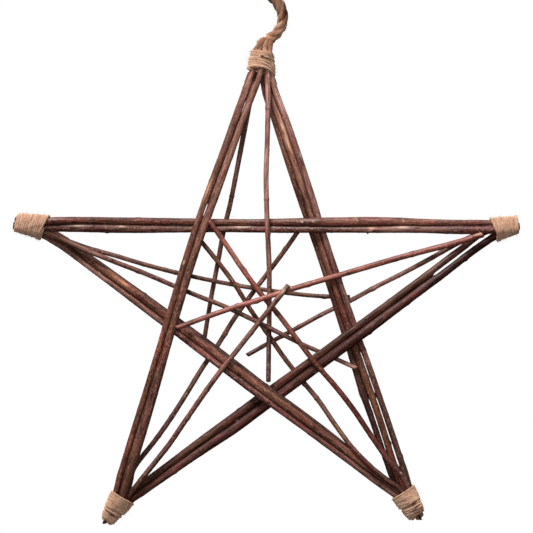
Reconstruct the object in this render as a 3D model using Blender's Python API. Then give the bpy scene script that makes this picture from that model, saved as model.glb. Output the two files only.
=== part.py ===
"""A five-pointed star of willow rods, bound at its points with jute twine and hung from a rope loop.

Metres, +Z up. The star faces -Y and hangs in the XZ plane. The origin is inside the top of the rope
loop, where a hook or a nail carries it. Sizes below are in millimetres, across (+X) and up (+Z) from
the middle of the star, until place() turns them into metres from the origin.
"""

import math

import bmesh
import bpy
import numpy as np
from mathutils import Vector

MM = 0.001

# Overall sizes
ROPE_THICKNESS = 12.0
BINDING_THICKNESS = 1.8  # one layer of twine, pressed flat
HOOK_HEIGHT = 347.0  # the inside of the rope loop's top, above the middle of the star
CLEARANCE = 0.45  # between two rods that touch
SIDE_CLEARANCE = 0.15  # between the facets of two main rods that lie side by side
SLEEVE_CLEARANCE = 0.5  # between a binding and the rods inside it

# How finely the solids are faceted
ROD_SIDES = 8
TWIG_SIDES = 7
RING_SPACING = 32.0
BOUND_RING_SPACING = 11.0
BOUND_LENGTH = 42.0  # how far from the mouth of a binding its rings are that close
SECTION_REACH = 60.0  # how far from the mouth of a binding its section can lie
SAMPLE_SPACING = 3.0
SIDE_BY_SIDE = 0.14  # the sine of the largest angle between rods that count as side by side
SLEEVE_SIDES = 18
SLEEVE_STATIONS = 5
SLEEVE_LOOK = 4.0  # each station also clears the rods that far before and behind it inside the binding
ROPE_POINTS = 34
FINE_STEPS = 40  # for each point of a route, while its smooth curve is worked out

# Each point of the star: where its binding's mouth is, the way the mouth and the whole binding face in
# degrees from +X, the binding's length, and how far the twine draws the rods together, as a share of
# their distance from the binding's axis
POINTS = {
    "top": {"mouth": (-0.8, 257.0), "mouth_angle": 77, "angle": 84, "length": 26, "squeeze": 0.95},
    "left": {"mouth": (-239.5, 87.0), "mouth_angle": 159, "angle": 170, "length": 33, "squeeze": 0.87},
    "right": {"mouth": (255.5, 84.5), "mouth_angle": 13, "angle": 9, "length": 28, "squeeze": 0.90},
    "lower_left": {"mouth": (-154, -211), "mouth_angle": 237, "angle": 236, "length": 30, "squeeze": 0.85},
    "lower_right": {"mouth": (156, -205.5), "mouth_angle": 303, "angle": 298, "length": 29, "squeeze": 0.8},
}
SQUEEZE_LENGTH = 18.0  # the rods start to draw together that far before the mouth
THINNED_TO = 0.82  # the share of its thickness that a rod keeps at its end inside a binding

# Main rods, from one point of the star to another. The first and last entries are the rod's ends inside
# the bindings: the point, how far in the end is, and how far to the left of the binding's axis. Between
# them is the route: how far along the straight line between the two mouths, how far to the left of that
# line, and the rod's thickness there.
MAIN_RODS = {
    "crossbar_upper": (
        ("left", 31, -3.6),
        [(10, 7.9, 7.6), (50, 8.0, 7.6), (100, 7.4, 7.8), (150, 6.9, 8.0), (220, 6.7, 7.2),
         (262, 7.0, 8.0), (300, 7.6, 9.2), (350, 8.3, 10.0), (375, 8.5, 9.4), (400, 8.2, 8.4),
         (430, 7.6, 6.6), (450, 7.7, 5.9), (485, 8.1, 6.2)],
        ("right", 27, 6.4)),
    "crossbar_lower": (
        ("left", 34, 4.4),
        [(10, -0.5, 8.4), (60, -0.8, 9.3), (85, -1.3, 8.9), (125, -1.5, 7.8), (200, -0.8, 7.2),
         (262, -1.0, 7.6), (310, -0.9, 7.0), (375, -0.6, 7.6), (400, 0.0, 8.0), (430, -0.7, 7.6),
         (450, -0.8, 8.9), (485, -0.4, 8.6)],
        ("right", 24, -1.2)),
    "upper_left_outer": (
        ("top", 24, 3.4),
        [(10, -10.1, 7.0), (50, -11.6, 7.2), (100, -13.0, 7.0), (150, -15.1, 6.8), (200, -15.6, 6.4),
         (250, -14.9, 6.2), (300, -13.3, 6.2), (350, -12.2, 6.0), (400, -11.4, 5.8), (475, -10.2, 5.8)],
        ("lower_left", 33, -0.6)),
    "upper_left_inner": (
        ("top", 25, -3.0),
        [(10, -0.4, 6.4), (50, -3.0, 6.8), (75, -3.6, 7.2), (100, -4.6, 8.0), (125, -5.4, 8.4),
         (150, -6.2, 8.4), (200, -7.5, 8.7), (250, -6.9, 8.4), (300, -5.5, 8.6), (350, -3.7, 9.6),
         (400, -2.3, 10.9), (450, -1.2, 11.1), (480, -0.6, 11.1)],
        ("lower_left", 20, 1.6)),
    "upper_right_inner": (
        ("top", 22, 3.4),
        [(20, -3.0, 6.0), (50, -3.2, 6.0), (100, -4.0, 6.0), (150, -4.4, 5.8), (200, -4.0, 5.8),
         (275, -5.1, 6.0), (325, -6.2, 6.2), (370, -7.6, 7.2), (400, -7.2, 6.6), (450, -6.9, 5.8),
         (475, -6.4, 5.6)],
        ("lower_right", 17, -3.2)),
    "upper_right_middle": (
        ("top", 25, -3.2),
        [(20, 2.6, 7.6), (50, 3.4, 8.2), (100, 3.2, 8.4), (150, 3.0, 8.2), (200, 1.4, 6.8),
         (250, 1.2, 6.6), (325, 0.8, 7.0), (400, 1.1, 6.6), (470, 0.4, 7.0)],
        ("lower_right", 34, 1.2)),
    "upper_right_outer": (
        ("top", 14, -7.5),
        [(20, 8.6, 6.4), (50, 9.6, 6.4), (100, 9.9, 6.6), (150, 9.3, 6.6), (200, 7.8, 6.4),
         (250, 7.9, 6.4), (300, 8.1, 6.2), (350, 8.9, 6.2), (400, 9.1, 6.2), (470, 9.3, 6.4)],
        ("lower_right", 32, 5.6)),
    "lower_right_upper": (
        ("left", 28, -3.8),
        [(20, 1.4, 8.6), (60, 1.6, 8.8), (100, 1.7, 8.8), (150, 2.0, 8.6), (200, 0.9, 8.4),
         (250, 0.3, 8.4), (300, -0.1, 7.8), (350, 0.0, 7.8), (400, 0.1, 7.6), (450, 0.0, 7.2),
         (480, -0.4, 6.8)],
        ("lower_right", 18, 0.0)),
    "lower_right_lower": (
        ("left", 30, 4.4),
        [(20, -6.6, 6.2), (60, -6.1, 5.8), (100, -6.0, 6.0), (150, -6.6, 6.4), (200, -7.1, 6.6),
         (250, -7.5, 6.9), (300, -7.9, 7.2), (350, -7.1, 6.8), (400, -7.2, 6.8), (450, -7.4, 7.2),
         (480, -7.9, 7.8)],
        ("lower_right", 30, -2.8)),
    "lower_right_hidden": (
        ("left", 14, -4.0),
        [(20, 1.8, 5.8), (60, 3.4, 6.0), (110, 4.2, 6.0), (150, 5.0, 6.0), (200, 5.4, 6.1),
         (250, 5.2, 6.1), (290, 4.4, 6.0), (350, 4.5, 6.2), (400, 3.6, 6.0), (440, 1.8, 5.8),
         (480, 0.0, 5.6)],
        ("lower_right", 12, 2.0)),
    "lower_left_upper": (
        ("right", 25, 6.4),
        [(15, -4.6, 7.0), (40, -4.2, 7.2), (75, -3.5, 7.4), (125, -2.6, 7.6), (200, -1.8, 7.4),
         (250, -1.2, 8.2), (300, -0.9, 9.0), (350, -0.6, 9.0), (400, -0.4, 8.5), (450, 0.1, 7.0),
         (485, 0.2, 6.6)],
        ("lower_left", 18, -1.0)),
    "lower_left_lower": (
        ("right", 28, -1.4),
        [(15, 5.8, 8.0), (75, 6.6, 8.4), (125, 7.0, 9.6), (175, 7.5, 10.6), (225, 8.2, 10.8),
         (262, 9.0, 10.4), (325, 9.8, 10.4), (375, 10.0, 10.8), (400, 8.9, 9.4), (450, 8.2, 8.7),
         (485, 7.9, 8.1)],
        ("lower_left", 23, 1.6)),
}

# Thin twigs, from a binding to a free end. The first entry is the bound end, as above, or nothing where
# the twig lies loose at both ends. Then the route, across and up from the star's middle, and the
# thickness at the two ends.
THIN_TWIGS = {
    "twig_top_short": (
        ("top", 11, 5.0),
        [(-14, 222), (-23.5, 172), (-30, 138), (-36.5, 106), (-43, 80), (-48.5, 49), (-56.5, 7),
         (-64.5, -42)],
        5.8, 5.0),
    "twig_top_long": (
        ("top", 13, -5.6),
        [(6.5, 240), (6.6, 215), (5.5, 172), (4.5, 140), (5.8, 90), (8, 40), (8, 0), (7, -82)],
        5.9, 5.4),
    "twig_left_upper": (
        ("left", 12, 5.0),
        [(-206, 69.5), (-178, 59.5), (-156, 54.5), (-123, 44.5), (-74, 32.5), (-30, 23.7), (31, 14.5),
         (75, 10.5), (94, 10.5)],
        5.2, 4.6),
    "twig_left_lower": (
        ("left", 20, 6.6),
        [(-233, 81.4), (-206, 68), (-178, 55.5), (-123, 34), (-79, 15), (-41, 0), (-8, -15.5), (33, -36),
         (58, -48), (89, -60.5), (104, -68)],
        5.6, 4.8),
    "twig_right_upper": (
        None,
        [(242, 79), (218, 71.5), (152, 54), (108, 41.3), (69, 29.7), (36, 20.4), (-8, 6), (-46, -6),
         (-94, -23.7)],
        6.6, 5.6),
    "twig_right_lower": (
        ("right", 11, 0.0),
        [(236, 79), (207, 65), (185, 52.5), (152, 35), (108, 12.7), (94, 4.5), (80, -1.5), (42, -22),
         (9, -39.6), (-16, -53.5)],
        5.4, 4.8),
    "twig_lower_right_outer": (
        ("lower_right", 14, 5.0),
        [(161, -198), (148, -179.5), (130, -157.5), (116, -136), (89, -97.5), (64, -69), (42, -40.5),
         (15, -5), (-11, 26), (-30, 54.5), (-58, 94)],
        6.2, 5.6),
    "twig_lower_right_inner": (
        ("lower_right", 12, 1.5),
        [(150, -199.5), (135, -189), (114, -171), (92.5, -147), (75, -122), (58.5, -98.5), (31, -65.5),
         (7, -31), (-10, -7.5), (-35, 31.5), (-68, 73)],
        5.6, 5.2),
    "twig_lower_left_outer": (
        ("lower_left", 12, 2.0),
        [(-147, -201), (-142, -180), (-130, -163), (-109, -136), (-80, -91), (-61, -60), (-47, -40),
         (-28, -9.5), (0, 28.5), (20, 55), (43, 87.5)],
        5.8, 5.2),
    "twig_lower_left_inner": (
        ("lower_left", 10, 7.0),
        [(-146, -208), (-139, -198.5), (-124.7, -180), (-106.5, -158), (-92, -136.5), (-51.7, -79),
         (-37.5, -61), (-11, -27), (6.6, -5), (29, 23.5)],
        6.0, 5.6),
}

# Where two rods cross, the one named first here lies in front of the other, nearer the viewer
FRONT_TO_BACK = [
    "twig_lower_left_inner", "twig_right_upper", "twig_lower_right_outer",
    "upper_left_outer", "upper_left_inner", "twig_top_long", "crossbar_upper", "crossbar_lower",
    "lower_right_upper", "lower_right_lower", "lower_right_hidden",
    "lower_left_upper", "lower_left_lower", "twig_left_lower", "twig_lower_right_inner",
    "upper_right_outer", "upper_right_middle", "upper_right_inner",
    "twig_left_upper", "twig_right_lower", "twig_lower_left_outer", "twig_top_short",
]

# The few that are woven the other way: the first lies in front of all the others
WOVEN_THE_OTHER_WAY = {
    "twig_left_lower": ["twig_top_long", "lower_right_upper", "lower_right_lower", "lower_right_hidden"],
    "twig_left_upper": ["lower_right_upper", "lower_right_lower", "lower_right_hidden"],
    "twig_lower_right_inner": ["lower_right_upper", "lower_right_lower", "lower_right_hidden"],
    "upper_left_outer": ["twig_lower_left_inner"],
    "upper_left_inner": ["twig_lower_left_inner"],
}

# The rods as springy beams, for settle()
STIFFNESS = 1.1e5  # bending, for a rod 8 mm thick
SPRING_BACK = 0.02  # the weak pull of every sample towards the star's own plane
CINCH = 150.0  # how much stronger that pull is inside a binding
TIE = 0.4  # how strongly two main rods that lie side by side keep to one depth
TIED_GAP = 3.0  # the widest gap between two such rods, seen from the front
ROUNDS = 3000
ROUNDS_FOR_STEP = 30  # to find how large a step of the pushes stays stable

# The unlaid rope ends: height above the binding, half widths across and in depth, and shift to the right
NECK_RINGS = [(0.0, 9.4, 12.5, 0.0), (4.0, 8.6, 13.0, 0.6), (8.0, 8.4, 13.6, 1.4), (10.5, 6.8, 11.5, 1.2),
              (12.0, 4.2, 8.0, 0.4)]
ROPE_SEAT = (9.0, 294.0)  # a place on the slope that the rope's two ends sit on

# The front half of the rope loop: across, depth (-Y is the front) and up, from the binding to the top.
# The back half mirrors it in depth.
ROPE_HALF_ROUTE = [
    (9.5, -8.0, 294.5), (14.5, -10.5, 299.0), (19.0, -14.0, 304.5), (21.8, -17.5, 310.5),
    (22.8, -20.5, 317.0), (22.2, -23.0, 323.5), (19.8, -24.5, 330.0), (15.5, -24.5, 336.5),
    (10.0, -22.0, 342.5), (5.0, -16.5, 348.0), (1.5, -9.0, 351.8), (0.0, 0.0, 353.0),
]

# Base colour and roughness
COLOURS = {
    "bark": ((0.105, 0.045, 0.032), 0.62),
    "twig_bark": ((0.150, 0.055, 0.042), 0.58),
    "jute_twine": ((0.520, 0.330, 0.200), 0.90),
    "jute_rope": ((0.330, 0.190, 0.120), 0.92),
}


def place(across, depth, up):
    """Metres from the hook, from millimetres off the middle of the star."""
    return Vector((across * MM, depth * MM, (up - HOOK_HEIGHT) * MM))


def facing(degrees):
    """The direction at that angle in the star's plane, and the direction to its left."""
    turn = math.radians(degrees)
    outward = np.array([math.cos(turn), math.sin(turn)])
    return outward, np.array([-outward[1], outward[0]])


def bound_end(end):
    """Where in the star's plane a rod ends inside a binding."""
    point, reach, side = end
    spec = POINTS[point]
    outward, leftward = facing(spec["angle"])
    return np.array(spec["mouth"]) + reach * outward + side / spec["squeeze"] * leftward


def main_route(first, route, last):
    """A main rod's places in the star's plane, with the thickness at each."""
    start = np.array(POINTS[first[0]]["mouth"])
    line = np.array(POINTS[last[0]]["mouth"]) - start
    line /= np.linalg.norm(line)
    leftward = np.array([-line[1], line[0]])
    places = [(*(start + along * line + offset * leftward), wide) for along, offset, wide in route]
    return [(*bound_end(first), route[0][2]), *places, (*bound_end(last), route[-1][2])]


def twig_route(first, route, start_thickness, end_thickness):
    """A thin twig's places in the star's plane, with the thickness at each."""
    places = ([bound_end(first)] if first else []) + route
    thicknesses = np.linspace(start_thickness, end_thickness, len(places))
    return [(*spot, thickness) for spot, thickness in zip(places, thicknesses)]


def smooth_curve(points, spacing):
    """A curve through the points at even spacing, where each tangent runs along its two neighbours."""
    points = np.array(points, float)
    at = np.concatenate([[0.0], np.cumsum(np.linalg.norm(np.diff(points, axis=0), axis=1))])
    before = np.maximum(np.arange(len(points)) - 1, 0)
    after = np.minimum(np.arange(len(points)) + 1, len(points) - 1)
    tangents = (points[after] - points[before]) / (at[after] - at[before])[:, None]
    distance = np.linspace(0.0, at[-1], FINE_STEPS * len(points))
    i = np.clip(np.searchsorted(at, distance, side="right") - 1, 0, len(points) - 2)
    span = (at[i + 1] - at[i])[:, None]
    u = ((distance - at[i])[:, None]) / span
    fine = (2 * u**3 - 3 * u**2 + 1) * points[i] + (u**3 - 2 * u**2 + u) * span * tangents[i]
    fine += (3 * u**2 - 2 * u**3) * points[i + 1] + (u**3 - u**2) * span * tangents[i + 1]
    length = np.concatenate([[0.0], np.cumsum(np.linalg.norm(np.diff(fine, axis=0), axis=1))])
    even = np.linspace(0.0, length[-1], max(3, round(length[-1] / spacing) + 1))
    return np.stack([np.interp(even, length, fine[:, k]) for k in range(points.shape[1])], axis=1)


def drawn_in(curve, point):
    """Draw the curve in towards the binding's axis, and thin it, as the twine does."""
    spec = POINTS[point]
    outward, leftward = facing(spec["angle"])
    off = curve[:, :2] - np.array(spec["mouth"])
    inside, beside = off @ outward, off @ leftward
    near = np.linalg.norm(off, axis=1) < SECTION_REACH
    u = np.clip(1.0 + inside / SQUEEZE_LENGTH, 0.0, 1.0)
    drawn = np.where(near, (1.0 - spec["squeeze"]) * (3.0 - 2.0 * u) * u**2, 0.0)
    curve[:, :2] -= (drawn * beside)[:, None] * leftward
    thinned = (1.0 - THINNED_TO) * np.clip(inside / spec["length"], 0.0, 1.0)
    curve[:, 2] *= 1.0 - np.where(near, thinned, 0.0)


class Rod:
    """One rod or twig as a faceted tube: rings across its route, and samples evenly along the line
    through the rings' centres. Columns of both are across, up and radius."""

    def __init__(self, name, route, points, sides):
        self.name = name
        self.sides = sides
        self.points = points
        curve = smooth_curve(route, 1.0)
        for point in points:
            drawn_in(curve, point)
        picks = self.ring_picks(curve)
        self.rings = curve[picks]
        self.rings[:, 2] /= 2
        steps = np.concatenate([[0.0], np.cumsum(np.diff(picks))])
        count = round(steps[-1] / SAMPLE_SPACING) + 1
        self.share = self.shares(steps, np.linspace(0.0, steps[-1], count))
        self.samples = self.share @ self.rings
        self.bound = np.zeros(count, bool)
        for point in points:
            outward, _ = facing(POINTS[point]["angle"])
            from_mouth = self.samples[:, :2] - np.array(POINTS[point]["mouth"])
            self.bound |= (np.linalg.norm(from_mouth, axis=1) < BOUND_LENGTH) & (from_mouth @ outward > 0.0)
        self.take_depth(np.zeros(len(self.rings)))

    def take_depth(self, ring_depth):
        """Put the rings at these depths."""
        self.ring_depth = ring_depth
        self.depth = self.share @ ring_depth
        centres = np.stack([self.samples[:, 0], self.depth, self.samples[:, 1]], axis=1)
        directions = np.gradient(centres, axis=0)
        self.directions = directions / np.linalg.norm(directions, axis=1)[:, None]

    def ring_picks(self, curve):
        """Where along the curve the rings go: closer together inside the bindings."""
        reach = np.full(len(curve), 1.0 / RING_SPACING)
        for point in self.points:
            away = np.linalg.norm(curve[:, :2] - np.array(POINTS[point]["mouth"]), axis=1)
            reach[away < BOUND_LENGTH] = 1.0 / BOUND_RING_SPACING
        progress = np.cumsum(reach) - reach[0]
        wanted = np.linspace(0.0, progress[-1], round(progress[-1]) + 1)
        return np.unique(np.searchsorted(progress, wanted - 1e-9).clip(0, len(curve) - 1))

    @staticmethod
    def shares(steps, at):
        """How much of each ring every sample takes, as a matrix."""
        i = np.clip(np.searchsorted(steps, at, side="right") - 1, 0, len(steps) - 2)
        u = (at - steps[i]) / (steps[i + 1] - steps[i])
        share = np.zeros((len(at), len(steps)))
        share[np.arange(len(at)), i] = 1.0 - u
        share[np.arange(len(at)), i + 1] += u
        return share

    def stiffness(self):
        """How each ring resists being pushed in depth, with the others, as a springy beam."""
        count = len(self.rings)
        gaps = np.linalg.norm(np.diff(self.rings[:, :2], axis=0), axis=1)
        bend = np.zeros((count - 2, count))
        for k in range(count - 2):
            bend[k, k] = 1.0 / gaps[k]
            bend[k, k + 1] = -1.0 / gaps[k] - 1.0 / gaps[k + 1]
            bend[k, k + 2] = 1.0 / gaps[k + 1]
            bend[k] /= math.sqrt((gaps[k] + gaps[k + 1]) / 2)
        pull = np.where(self.bound, CINCH * SPRING_BACK, SPRING_BACK)
        thickness = (2 * self.rings[:, 2].mean() / 8.0) ** 4
        return STIFFNESS * thickness * bend.T @ bend + self.share.T @ (pull[:, None] * self.share)


def fullness(sides):
    """How much further out a polygon's corners are than a circle of the same area."""
    slice_angle = 2 * math.pi / sides
    return math.sqrt(slice_angle / math.sin(slice_angle))


def in_front(first, second):
    """Whether the first rod lies in front of the second where they cross."""
    if second.name in WOVEN_THE_OTHER_WAY.get(first.name, []):
        return True
    if first.name in WOVEN_THE_OTHER_WAY.get(second.name, []):
        return False
    return FRONT_TO_BACK.index(first.name) < FRONT_TO_BACK.index(second.name)


def passing(first, a, second, b):
    """How close two rods pass at a sample of each, seen from the front, how close is free, and
    whether they are main rods that run side by side.

    Such rods may lie facet to facet, where their polygons are narrower.
    """
    off = second.samples[b, :2] - first.samples[a, :2]
    (x, up), (other_x, other_up) = first.directions[a, [0, 2]], second.directions[b, [0, 2]]
    crossing = abs(x * other_up - up * other_x)
    aside = abs(off[0] * other_up - off[1] * other_x)
    ahead = max(abs(off[0] * other_x + off[1] * other_up) - SAMPLE_SPACING / 2, 0.0)
    close = max(math.hypot(aside, ahead) - crossing * SAMPLE_SPACING / 2, 0.0)
    thick = first.samples[a, 2] + second.samples[b, 2]
    if crossing < SIDE_BY_SIDE and first.sides == second.sides == ROD_SIDES:
        flat = math.cos(math.pi / ROD_SIDES) * fullness(ROD_SIDES)
        return close, flat * thick + SIDE_CLEARANCE, True
    return close, thick + CLEARANCE, False


def contacts_of(rods):
    """Pairs of samples that would meet, front sample first, and the depth that must lie between them.

    Pairs that lie side by side, clear of the bindings, come after them.
    """
    starts = np.cumsum([0] + [len(rod.samples) for rod in rods])
    front, back, needed, ties = [], [], [], []
    for i, first in enumerate(rods):
        for j in range(i + 1, len(rods)):
            second = rods[j]
            gaps = np.linalg.norm(first.samples[:, None, :2] - second.samples[None, :, :2], axis=2)
            nearest = set(zip(range(len(gaps)), gaps.argmin(axis=1)))
            nearest |= set(zip(gaps.argmin(axis=0), range(gaps.shape[1])))
            for a, b in sorted(nearest):
                close, room, along_it = passing(first, a, second, b)
                pair = (starts[i] + a, starts[j] + b)
                if along_it and close < room + TIED_GAP and not first.bound[a] and not second.bound[b]:
                    ties.append(pair)
                if close >= room:
                    continue
                if not in_front(first, second):
                    pair = pair[::-1]
                front.append(pair[0])
                back.append(pair[1])
                reach = first.samples[a, 2] + second.samples[b, 2] + CLEARANCE
                needed.append(math.sqrt(reach**2 - close**2))
    return np.array(front), np.array(back), np.array(needed), np.array(ties)


def settle(rods):
    """Find every rod's depth: each bends as a springy beam just far enough to pass its neighbours.

    The pushes between touching samples grow while they overlap and fade when they part.
    """
    front, back, needed, ties = contacts_of(rods)
    samples = np.cumsum([0] + [len(rod.samples) for rod in rods])
    rings = np.cumsum([0] + [len(rod.rings) for rod in rods])
    share = np.zeros((samples[-1], rings[-1]))
    stiffness = np.zeros((rings[-1], rings[-1]))
    for rod, sample, ring, next_ring in zip(rods, samples, rings, rings[1:]):
        share[sample:sample + len(rod.samples), ring:next_ring] = rod.share
        stiffness[ring:next_ring, ring:next_ring] = rod.stiffness()
    apart = share[ties[:, 0]] - share[ties[:, 1]]
    give = np.linalg.inv(stiffness + TIE * apart.T @ apart)

    def rings_under(push):
        force = np.bincount(back, push, samples[-1]) - np.bincount(front, push, samples[-1])
        return give @ (force @ share)

    trial = np.ones(len(front))
    for _ in range(ROUNDS_FOR_STEP):
        depth = share @ rings_under(trial)
        trial = depth[back] - depth[front]
        largest = np.linalg.norm(trial)
        trial /= largest
    push = np.zeros(len(front))
    ahead, momentum = push, 1.0
    for _ in range(ROUNDS):
        depth = share @ rings_under(ahead)
        overlap = needed - (depth[back] - depth[front])
        new_push = np.maximum(0.0, ahead + overlap / largest)
        if np.dot(ahead - new_push, new_push - push) > 0:
            momentum = 1.0
        new_momentum = (1 + math.sqrt(1 + 4 * momentum**2)) / 2
        ahead = new_push + (momentum - 1) / new_momentum * (new_push - push)
        push, momentum = new_push, new_momentum
    depth = rings_under(push)
    for rod, ring, next_ring in zip(rods, rings, rings[1:]):
        rod.take_depth(depth[ring:next_ring])


def material(name):
    """The plain material of that name, made once."""
    if name in bpy.data.materials:
        return bpy.data.materials[name]
    made = bpy.data.materials.new(name)
    made.use_nodes = True
    shader = made.node_tree.nodes["Principled BSDF"]
    colour, roughness = COLOURS[name]
    shader.inputs["Base Color"].default_value = (*colour, 1.0)
    shader.inputs["Roughness"].default_value = roughness
    shader.inputs["Metallic"].default_value = 0.0
    return made


def add_object(name, data, material_name):
    data.materials.append(material(material_name))
    made = bpy.data.objects.new(name, data)
    bpy.context.scene.collection.objects.link(made)
    return made


def loft(name, rings, material_name, closed_into_loop=False):
    """A solid skinned over rings of equally many corners, capped at both ends or joined end to end."""
    shape = bmesh.new()
    corners = [[shape.verts.new(corner) for corner in ring] for ring in rings]
    pairs = list(zip(corners[:-1], corners[1:]))
    if closed_into_loop:
        pairs.append((corners[-1], corners[0]))
    else:
        shape.faces.new(corners[0][::-1])
        shape.faces.new(corners[-1])
    for lower, upper in pairs:
        for k in range(len(lower)):
            after = (k + 1) % len(lower)
            shape.faces.new((lower[k], lower[after], upper[after], upper[k]))
    bmesh.ops.recalc_face_normals(shape, faces=shape.faces)
    mesh = bpy.data.meshes.new(name)
    shape.to_mesh(mesh)
    shape.free()
    mesh.shade_smooth()
    mesh.set_sharp_from_angle(angle=math.radians(40))
    return add_object(name, mesh, material_name)


def add_rod(rod, material_name):
    """The rod's solid, skinned over its rings."""
    centres = np.stack([rod.rings[:, 0], rod.ring_depth, rod.rings[:, 1]], axis=1)
    runs = np.diff(centres, axis=0)
    runs /= np.linalg.norm(runs, axis=1)[:, None]
    tangents = np.concatenate([runs[:1], runs[:-1] + runs[1:], runs[-1:]])
    slice_angle = 2 * math.pi / rod.sides
    rings = []
    for centre, tangent, radius in zip(centres, tangents, rod.rings[:, 2]):
        along = Vector(tangent).normalized()
        beside = along.cross(Vector((0, 1, 0))).normalized()
        before = beside.cross(along)
        ring = []
        for k in range(rod.sides):
            turn = slice_angle * (k + 0.5)
            out = beside * math.cos(turn) + before * math.sin(turn)
            ring.append(place(*(Vector(centre) + out * radius * fullness(rod.sides))))
        rings.append(ring)
    return loft(rod.name, rings, material_name)


def cut_across(point, share):
    """The plane across a binding at that share of its length: its middle and its two directions."""
    spec = POINTS[point]
    outward, _ = facing(spec["angle"])
    middle = np.array(spec["mouth"]) + share * spec["length"] * outward
    return middle, *facing(spec["mouth_angle"] + share * (spec["angle"] - spec["mouth_angle"]))


def section_of(rods, point, share, look=0.0):
    """Where the bound rods cross such a plane, moved out by some millimetres: beside, depth and radius.

    A rod that ends a little short of the plane still counts, and one that crosses it at a slant is
    as much wider there.
    """
    middle, outward, leftward = cut_across(point, share)
    short = POINTS[point]["length"] / (SLEEVE_STATIONS - 1)
    found = []
    for rod in rods:
        if point not in rod.points:
            continue
        off = rod.samples[:, :2] - middle
        from_mouth = rod.samples[:, :2] - np.array(POINTS[point]["mouth"])
        near = np.linalg.norm(from_mouth, axis=1) < SECTION_REACH
        inside = np.where(near, off @ outward - look, -np.inf)
        if inside.max() < -short:
            continue
        nearest = np.abs(inside).argmin()
        across_plane = abs(rod.directions[nearest] @ np.array([outward[0], 0.0, outward[1]]))
        radius = rod.samples[nearest, 2] / across_plane
        found.append(((off @ leftward)[nearest], rod.depth[nearest], radius))
    return np.array(found).reshape(-1, 3)


def taut_outline(section, room):
    """The corners of a cord drawn tight around the section's rods, that much room outside them.

    Each side of the outline faces its own way and touches the rod that reaches furthest that way.
    """
    turns = 2 * math.pi * np.arange(SLEEVE_SIDES) / SLEEVE_SIDES
    looks = np.stack([np.cos(turns), np.sin(turns)], axis=1)
    support = (section[:, :2] @ looks.T + section[:, 2:]).max(axis=0) + room
    after_looks, after_support = np.roll(looks, -1, axis=0), np.roll(support, -1)
    pairs = np.stack([looks, after_looks], axis=1)
    return np.linalg.solve(pairs, np.stack([support, after_support], axis=1)[:, :, None])[:, :, 0]


def add_binding(point, rods):
    """A hollow sleeve of twine drawn tight around the rods of one star point."""
    outer, inner = [], []
    for share in np.linspace(0.0, 1.0, SLEEVE_STATIONS):
        middle, _, leftward = cut_across(point, share)
        reach = share * POINTS[point]["length"]
        looks = [look for look in (-SLEEVE_LOOK, 0.0, SLEEVE_LOOK) if reach + look >= 0]
        section = np.concatenate([section_of(rods, point, share, look) for look in looks])
        for rings, room in ((outer, SLEEVE_CLEARANCE + BINDING_THICKNESS), (inner, SLEEVE_CLEARANCE)):
            outline = taut_outline(section, room)
            plane = middle + outline[:, :1] * leftward
            rings.append([place(a, depth, up) for (a, up), depth in zip(plane, outline[:, 1])])
    return loft(f"twine_binding_{point}", outer + inner[::-1], "jute_twine", closed_into_loop=True)


def add_rope_ends(rods):
    """The rope's unlaid ends, spread over the tops of the rods and rounded off above them."""
    section = section_of(rods, "top", 1.0)
    middle, outward, leftward = cut_across("top", 1.0)
    centre_across = (section[:, 0].min() + section[:, 0].max()) / 2
    base = middle + CLEARANCE * outward + centre_across * leftward
    rings = []
    for height, across, deep, shift in NECK_RINGS:
        ring = []
        for k in range(SLEEVE_SIDES):
            turn = 2 * math.pi * k / SLEEVE_SIDES
            x, up = base + height * outward - (shift + across * math.cos(turn)) * leftward
            under_rope = ROPE_SEAT[1] - (x - ROPE_SEAT[0])
            ring.append(place(x, deep * math.sin(turn), min(up, under_rope)))
        rings.append(ring)
    return loft("rope_ends", rings, "jute_rope")


def add_rope():
    """The hanging loop: one bevelled poly curve through the two mirrored halves of its route."""
    front = [(a, depth, up) for a, depth, up in ROPE_HALF_ROUTE]
    back = [(a, -depth, up) for a, depth, up in ROPE_HALF_ROUTE[-2::-1]]
    fine = smooth_curve(front + back, 1.0)
    picks = np.linspace(0, len(fine) - 1, ROPE_POINTS)
    curve = bpy.data.curves.new("rope_loop", "CURVE")
    curve.dimensions = "3D"
    curve.bevel_depth = ROPE_THICKNESS / 2 * MM
    curve.bevel_resolution = 3
    curve.use_fill_caps = True
    spline = curve.splines.new("POLY")
    spline.points.add(ROPE_POINTS - 1)
    for target, pick in zip(spline.points, picks):
        centre = [np.interp(pick, np.arange(len(fine)), fine[:, k]) for k in range(3)]
        target.co = (*place(*centre), 1.0)
    return add_object("rope_loop", curve, "jute_rope")


def build():
    for old in list(bpy.data.objects):
        bpy.data.objects.remove(old)
    rods = []
    for name, (first, route, last) in MAIN_RODS.items():
        rods.append(Rod(name, main_route(first, route, last), [first[0], last[0]], ROD_SIDES))
    twigs = []
    for name, (first, *rest) in THIN_TWIGS.items():
        twigs.append(Rod(name, twig_route(first, *rest), [first[0]] if first else [], TWIG_SIDES))
    settle(rods + twigs)
    for rod in rods:
        add_rod(rod, "bark")
    for twig in twigs:
        add_rod(twig, "twig_bark")
    for point in POINTS:
        add_binding(point, rods + twigs)
    add_rope_ends(rods + twigs)
    add_rope()


build()
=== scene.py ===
"""The looks of the twig star: barked rods and twigs, wound twine and a three-strand hanging rope."""

import math
import bpy
import numpy as np
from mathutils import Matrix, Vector
from mathutils.bvhtree import BVHTree


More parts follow.
